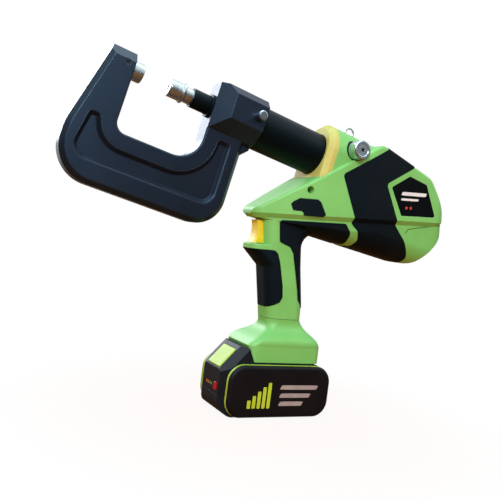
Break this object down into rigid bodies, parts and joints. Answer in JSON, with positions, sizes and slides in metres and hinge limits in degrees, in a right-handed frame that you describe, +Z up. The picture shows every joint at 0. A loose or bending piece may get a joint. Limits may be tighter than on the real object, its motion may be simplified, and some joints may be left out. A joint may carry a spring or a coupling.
{
  "type": "self-piercing rivet tool",
  "caption": "Cordless self-piercing rivet tool: black C-shaped yoke with die and sprung nosepiece on a sloping hydraulic cylinder, pistol-grip housing, slide-off battery.",
  "frame": {"origin": "middle of the battery's underside, on the table", "axes": "+Z up; -X forwards, towards the jaw; +Y to the user's right; the ram axis rises 11.65 degrees towards the jaw in the XZ plane"},
  "size_m": [0.4255, 0.0804, 0.3318],
  "materials": {
    "green_shell": "satin moulded plastic",
    "black_rubber": "fine matt grain",
    "yellow_plastic": "satin moulded plastic",
    "black_steel": "black finish with a soft sheen",
    "tool_steel": "turned and ground",
    "bright_steel": "polished",
    "fastener_steel": "black oxide",
    "spring_steel": "drawn wire",
    "seal_rubber": "smooth",
    "pump_steel": "machined",
    "black_plastic": "fine matt grain",
    "lime_plastic": "satin moulded plastic",
    "red_plastic": "glossy",
    "light_window": "translucent",
    "circuit_board": "coated board",
    "cell_can": "wrapped cell, density near that of a real cell",
    "contact_brass": "plated"
  },
  "bodies": {
    "tool": {"housing_left": "green_shell", "housing_right": "green_shell", "front_collar": "yellow_plastic", "side_panel_left": "black_rubber", "side_panel_right": "black_rubber", "belly_grip_left": "black_rubber", "belly_grip_right": "black_rubber", "front_grip_left": "black_rubber", "front_grip_right": "black_rubber", "label_plate": "black_plastic", "housing_screws": "fastener_steel", "cylinder_barrel": "black_steel", "rod_seal": "seal_rubber", "pump_block": "pump_steel", "pump_plunger": "tool_steel", "knob_liner": "black_plastic", "oil_reservoir": "seal_rubber", "gearbox": "pump_steel", "motor_can": "pump_steel", "trigger_switch": "black_plastic", "control_board": "circuit_board", "terminal_block": "black_plastic", "foot": "green_shell", "hanger_lug": "bright_steel", "return_spring": "spring_steel"},
    "yoke": {"c_frame": "black_steel", "die": "tool_steel", "die_set_screw": "fastener_steel", "rod_guide": "tool_steel"},
    "lock_pin": {"lock_pin": "bright_steel"},
    "ram": {"ram": "black_steel", "piston_seal": "seal_rubber", "punch": "tool_steel", "nosepiece_spring": "spring_steel"},
    "nosepiece": {"nosepiece": "tool_steel"},
    "trigger": {"trigger": "yellow_plastic"},
    "release_button": {"release_button": "black_plastic"},
    "valve_knob": {"valve_knob": "bright_steel"},
    "hanger_ring": {"hanger_ring": "bright_steel"},
    "motor_rotor": {"motor_rotor": "pump_steel"},
    "cam_shaft": {"cam_shaft": "tool_steel"},
    "battery": {"battery_base": "black_plastic", "battery_cover": "black_plastic", "battery_plate_left": "black_plastic", "battery_plate_right": "black_plastic", "battery_trim_left": "lime_plastic", "battery_trim_right": "lime_plastic", "battery_cells": "cell_can", "battery_terminals": "contact_brass", "charge_lights": "light_window"},
    "battery_latch": {"battery_latch": "lime_plastic"},
    "charge_button": {"charge_button": "red_plastic"}
  },
  "joints": [
    {"name": "yoke_swivel", "type": "hinge", "parent": "tool", "child": "yoke", "pos_m": [0, 0, 0.2766], "axis": [0.9794, 0, -0.2019], "continuous": true},
    {"name": "lock_pin_pull", "type": "slide", "parent": "yoke", "child": "lock_pin", "axis": [0, -1, 0], "range_m": [0, 0.005], "stiffness_N_per_m": 500, "springref_m": -0.004},
    {"name": "ram_slide", "type": "slide", "parent": "tool", "child": "ram", "axis": [-0.9794, 0, 0.2019], "range_m": [0, 0.026], "stiffness_N_per_m": 2000, "springref_m": -0.01, "deforming": ["return_spring"]},
    {"name": "nosepiece_slide", "type": "slide", "parent": "ram", "child": "nosepiece", "axis": [0.9794, 0, -0.2019], "range_m": [0, 0.0055], "stiffness_N_per_m": 800, "springref_m": -0.003, "deforming": ["nosepiece_spring"]},
    {"name": "trigger_pull", "type": "slide", "parent": "tool", "child": "trigger", "axis": [1, 0, 0], "range_m": [0, 0.006], "stiffness_N_per_m": 600, "springref_m": -0.002},
    {"name": "release_press", "type": "slide", "parent": "tool", "child": "release_button", "axis": [0, 1, 0], "range_m": [0, 0.0025], "stiffness_N_per_m": 500, "springref_m": -0.001},
    {"name": "valve_turn", "type": "hinge", "parent": "tool", "child": "valve_knob", "pos_m": [0.05953, -0.043, 0.27811], "axis": [0, -1, 0], "range_deg": [0, 270]},
    {"name": "ring_flop", "type": "hinge", "parent": "tool", "child": "hanger_ring", "pos_m": [0.07404, 0.008, 0.29748], "axis": [0.9794, 0, -0.2019], "range_deg": [-75, 75]},
    {"name": "motor_spin", "type": "hinge", "parent": "tool", "child": "motor_rotor", "pos_m": [-0.00808, 0, 0.23742], "axis": [0.9794, 0, -0.2019], "continuous": true},
    {"name": "cam_spin", "type": "hinge", "parent": "tool", "child": "cam_shaft", "pos_m": [-0.00808, 0, 0.23742], "axis": [0.9794, 0, -0.2019], "continuous": true},
    {"name": "battery_slide", "type": "slide", "parent": "tool", "child": "battery", "axis": [-1, 0, 0], "range_m": [0, 0.09]},
    {"name": "latch_press", "type": "slide", "parent": "battery", "child": "battery_latch", "axis": [0.7465, 0, -0.6654], "range_m": [0, 0.0025], "stiffness_N_per_m": 400, "springref_m": -0.001},
    {"name": "charge_press", "type": "slide", "parent": "battery", "child": "charge_button", "axis": [1, 0, 0], "range_m": [0, 0.0012], "stiffness_N_per_m": 300, "springref_m": -0.0005}
  ],
  "couplings": [
    {"joint": "cam_spin", "follows": "motor_spin", "ratio": 0.083333}
  ]
}
